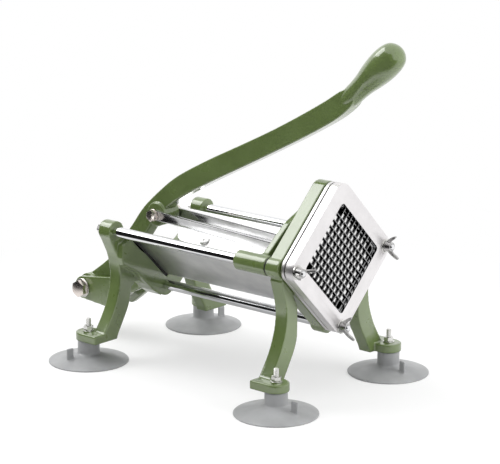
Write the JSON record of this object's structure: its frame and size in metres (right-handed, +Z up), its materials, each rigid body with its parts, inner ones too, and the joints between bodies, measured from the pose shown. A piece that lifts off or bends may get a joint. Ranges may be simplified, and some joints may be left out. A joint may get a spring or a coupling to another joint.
{
  "type": "french fry cutter",
  "caption": "Table-top lever cutter that pushes a potato through a square grid of blades set on its corner, with two cast frames, guide rods, a V trough and suction feet.",
  "frame": {"origin": "on the table, under the middle of the whole tool's bounding box", "axes": "+X out of the cutting head, +Y to the tool's left side, +Z up"},
  "size_m": [0.4736, 0.2888, 0.3962],
  "materials": {
    "green_enamel": "smooth gloss enamel on castings",
    "chrome_steel": "chromed, mirror smooth",
    "cast_aluminium": "satin, edges machined bright",
    "blade_steel": "ground stainless strip",
    "polished_steel": "polished stainless sheet",
    "grey_vinyl": "smooth, slightly clouded soft plastic",
    "zinc_steel": "bright zinc plate",
    "bronze": "plain bearing bronze",
    "bush_plastic": "plain bearing plastic"
  },
  "bodies": {
    "frame": {"front_casting": "green_enamel", "rear_casting": "green_enamel", "guide_rod_left": "chrome_steel", "guide_rod_right": "chrome_steel", "guide_rod_bottom": "chrome_steel", "rod_rear_nuts": "zinc_steel", "rod_washers": "zinc_steel", "blade_holder": "cast_aluminium", "blades_rising": "blade_steel", "blades_falling": "blade_steel", "cover_plate": "cast_aluminium", "trough": "polished_steel", "suction_cup_front_right": "grey_vinyl", "suction_cup_front_left": "grey_vinyl", "suction_cup_rear_right": "grey_vinyl", "suction_cup_rear_left": "grey_vinyl", "foot_studs": "zinc_steel", "foot_nuts": "zinc_steel", "foot_washers": "zinc_steel", "pivot_bolt": "zinc_steel", "pivot_nut": "zinc_steel", "pivot_washers": "zinc_steel"},
    "lever_arm": {"lever": "green_enamel", "pivot_bush": "bronze", "lever_link_bolt": "zinc_steel", "lever_link_nut": "zinc_steel"},
    "links": {"link_bar_right": "chrome_steel", "link_bar_left": "chrome_steel", "pusher_link_bolt": "zinc_steel", "pusher_link_nut": "zinc_steel"},
    "pusher": {"pusher_carriage": "green_enamel", "sleeve_bushes": "bush_plastic", "pusher_block": "cast_aluminium", "pusher_screws": "zinc_steel"},
    "left_wing_nut": {"wing_nut_left": "zinc_steel"},
    "right_wing_nut": {"wing_nut_right": "zinc_steel"},
    "bottom_wing_nut": {"wing_nut_bottom": "zinc_steel"}
  },
  "joints": [
    {"name": "handle_swing", "type": "hinge", "parent": "frame", "child": "lever_arm", "pos_m": [-0.22077, 0, 0.056], "axis": [0, -1, 0], "range_deg": [0, 58]},
    {"name": "link_swing", "type": "hinge", "parent": "lever_arm", "child": "links", "pos_m": [-0.10731, 0, 0.16277], "axis": [0, -1, 0], "range_deg": [-73, 0]},
    {"name": "pusher_slide", "type": "slide", "parent": "frame", "child": "pusher", "axis": [-1, 0, 0], "range_m": [0, 0.1525]},
    {"name": "left_wing_nut_turn", "type": "hinge", "parent": "frame", "child": "left_wing_nut", "pos_m": [0.16153, 0.07666, 0.154], "axis": [1, 0, 0], "continuous": true},
    {"name": "right_wing_nut_turn", "type": "hinge", "parent": "frame", "child": "right_wing_nut", "pos_m": [0.16153, -0.07666, 0.154], "axis": [1, 0, 0], "continuous": true},
    {"name": "bottom_wing_nut_turn", "type": "hinge", "parent": "frame", "child": "bottom_wing_nut", "pos_m": [0.16153, 0, 0.07734], "axis": [1, 0, 0], "continuous": true}
  ],
  "couplings": [
    {"joint": "link_swing", "follows": "handle_swing", "ratio": -1.2312},
    {"joint": "pusher_slide", "follows": "handle_swing", "m_per_rad": 0.14952}
  ]
}
